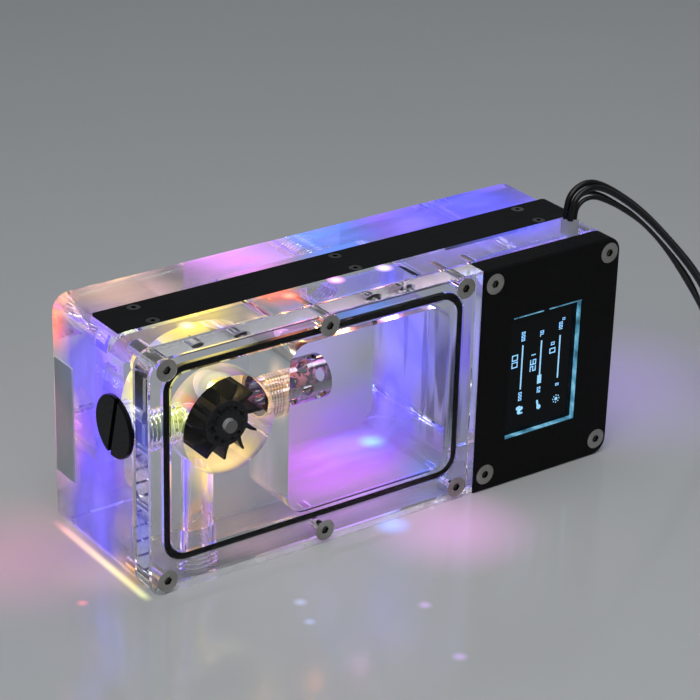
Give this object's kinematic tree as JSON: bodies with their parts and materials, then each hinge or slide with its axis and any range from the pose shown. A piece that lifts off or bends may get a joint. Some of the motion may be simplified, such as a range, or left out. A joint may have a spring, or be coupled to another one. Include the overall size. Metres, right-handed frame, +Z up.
{
  "type": "water cooling reservoir",
  "caption": "Clear block reservoir for a water cooling loop, with a spinning flow wheel, a display panel, an edge-lit strip, threaded ports and a trailing cable.",
  "frame": {"origin": "middle of the rest face under the block", "axes": "+X along the block towards the display, +Y from the covers to the back, +Z up"},
  "size_m": [0.3131, 0.0648, 0.0847],
  "materials": {
    "clear_acrylic": "polished clear acrylic",
    "cover_acrylic": "polished clear acrylic",
    "black_anodised": "black satin anodised",
    "screw_steel": "plain steel",
    "seal_rubber": "matte black",
    "display_glass": "clear glass",
    "display_panel": "dark with pale blue figures",
    "board": "circuit board",
    "board_parts": "moulded black",
    "socket_white": "white nylon",
    "lamps": "lit lamps",
    "light_board": "white circuit board",
    "plug_black": "black polished",
    "tube_chrome": "chrome plated",
    "wheel_black": "moulded black",
    "shaft_steel": "ground steel",
    "plate_frost": "frosted film",
    "lead_black": "black insulation",
    "cable_black": "black sheath"
  },
  "bodies": {
    "housing": {"main_block": "clear_acrylic", "front_cover": "cover_acrylic", "display_cover": "black_anodised", "cover_screws": "screw_steel", "display_cover_screws": "screw_steel", "cover_seal": "seal_rubber", "display_glass": "display_glass", "display_panel": "display_panel", "control_board": "board", "board_screws": "screw_steel", "board_parts": "board_parts", "cable_socket": "socket_white", "light_cover": "black_anodised", "light_cover_screws": "screw_steel", "light_board": "light_board", "lamps": "lamps", "stop_plug": "plug_black", "plug_seal": "seal_rubber", "flow_tube": "tube_chrome", "wheel_shaft": "shaft_steel", "name_plate": "plate_frost", "lead_1": "lead_black", "lead_2": "lead_black", "lead_3": "lead_black", "lead_4": "lead_black", "lead_sleeve": "cable_black", "cable_run": "cable_black", "cable_tail": "cable_black", "cable_coil": "cable_black", "cable_tie": "cable_black", "cable_jack": "board_parts"},
    "wheel": {"flow_wheel": "wheel_black"}
  },
  "joints": [
    {"name": "wheel_spin", "type": "hinge", "parent": "housing", "child": "wheel", "pos_m": [-0.05195, -0.01, 0.043], "axis": [0, 1, 0], "continuous": true}
  ]
}
